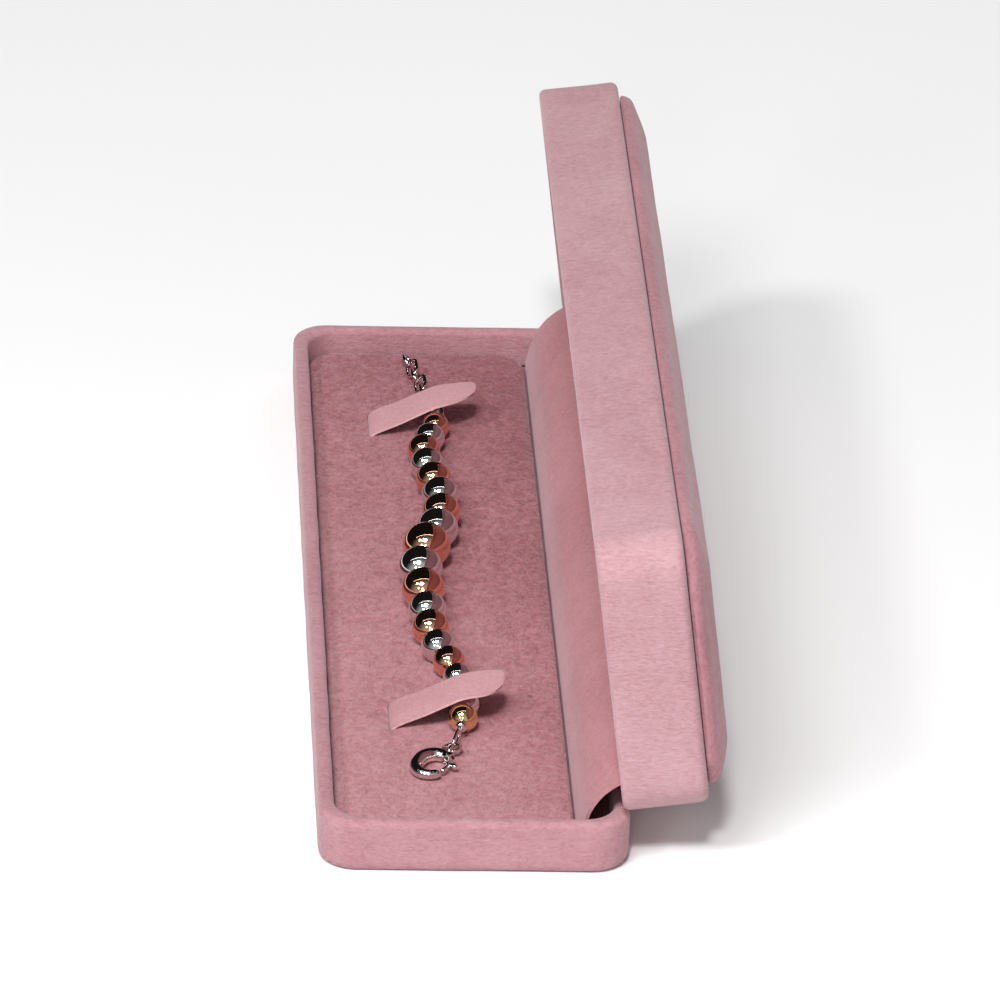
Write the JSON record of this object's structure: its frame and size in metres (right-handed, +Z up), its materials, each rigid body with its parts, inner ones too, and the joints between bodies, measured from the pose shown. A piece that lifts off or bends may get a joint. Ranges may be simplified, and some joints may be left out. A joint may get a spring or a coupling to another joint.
{
  "type": "bracelet presentation box",
  "caption": "Long suede-covered jewellery box with a hinged lid, a display pad with hold-down straps and a graduated bead bracelet laid under them.",
  "frame": {"origin": "centre of the base's underside, on the surface the box stands on", "axes": "+Z up out of the underside, +Y along the box's length, +X towards the hinged back"},
  "size_m": [0.0747, 0.212, 0.0675],
  "materials": {
    "suede": "dusty pink microfibre suede, fine nap",
    "suede_light": "the same suede with the nap brushed the light way",
    "shell": "plain moulded shell, out of sight",
    "board": "grey-brown board",
    "foam": "soft wadding",
    "steel": "plain steel strip and wire",
    "silver": "mirror-polished silver",
    "rose_gold": "mirror-polished rose gold"
  },
  "bodies": {
    "base": {"base_bottom_panel": "board", "base_shell": "shell", "base_wrap": "suede", "bead_01": "rose_gold", "bead_02": "silver", "bead_03": "rose_gold", "bead_04": "silver", "bead_05": "rose_gold", "bead_06": "silver", "bead_07": "rose_gold", "bead_08": "silver", "bead_09": "rose_gold", "bead_10": "silver", "bead_11": "rose_gold", "bead_12": "silver", "bead_13": "rose_gold", "bead_14": "silver", "bead_15": "rose_gold", "bead_16": "silver", "bead_17": "rose_gold", "bead_18": "silver", "bead_19": "rose_gold", "chain_link_1": "silver", "chain_link_2": "silver", "chain_link_3": "silver", "chain_link_4": "silver", "chain_link_5": "silver", "chain_link_6": "silver", "chain_link_7": "silver", "chain_link_8": "silver", "clasp_body": "silver", "clasp_pin": "silver", "end_cap_far": "silver", "end_cap_near": "silver", "end_loop": "silver", "hinge_flap": "suede", "hinge_leaf_base_far": "steel", "hinge_leaf_base_near": "steel", "hinge_pin_far": "steel", "hinge_pin_near": "steel", "jump_ring": "silver", "pad_board": "board", "pad_cover": "suede", "pad_foam": "foam", "stringing_wire": "steel"},
    "lid": {"hinge_leaf_lid_far": "steel", "hinge_leaf_lid_near": "steel", "lid_cushion": "suede_light", "lid_lining_board": "board", "lid_panel_cover": "suede_light", "lid_panel_foam": "foam", "lid_shell": "shell", "lid_wrap": "suede_light"},
    "strap_far": {"strap_far": "suede_light"},
    "strap_near": {"strap_near": "suede_light"},
    "clasp_lever": {"clasp_lever": "silver"}
  },
  "joints": [
    {"name": "lid_hinge", "type": "hinge", "parent": "base", "child": "lid", "pos_m": [0.0269, 0, 0.0106], "axis": [0, 1, 0], "range_deg": [-82, 8], "deforming": ["hinge_flap"]},
    {"name": "strap_far_lift", "type": "hinge", "parent": "base", "child": "strap_far", "pos_m": [-0.0139, 0.0673, 0.0061], "axis": [0, -1, 0], "range_deg": [0, 70], "deforming": ["strap_far"]},
    {"name": "strap_near_lift", "type": "hinge", "parent": "base", "child": "strap_near", "pos_m": [-0.0139, -0.0572, 0.0061], "axis": [0, -1, 0], "range_deg": [0, 70], "deforming": ["strap_near"]},
    {"name": "clasp_lever_hinge", "type": "hinge", "parent": "base", "child": "clasp_lever", "pos_m": [-0.00368, -0.07639, 0.0076], "axis": [0, 0, -1], "range_deg": [0, 14], "stiffness_Nm_per_rad": 0.0006, "springref_deg": -5.73}
  ]
}
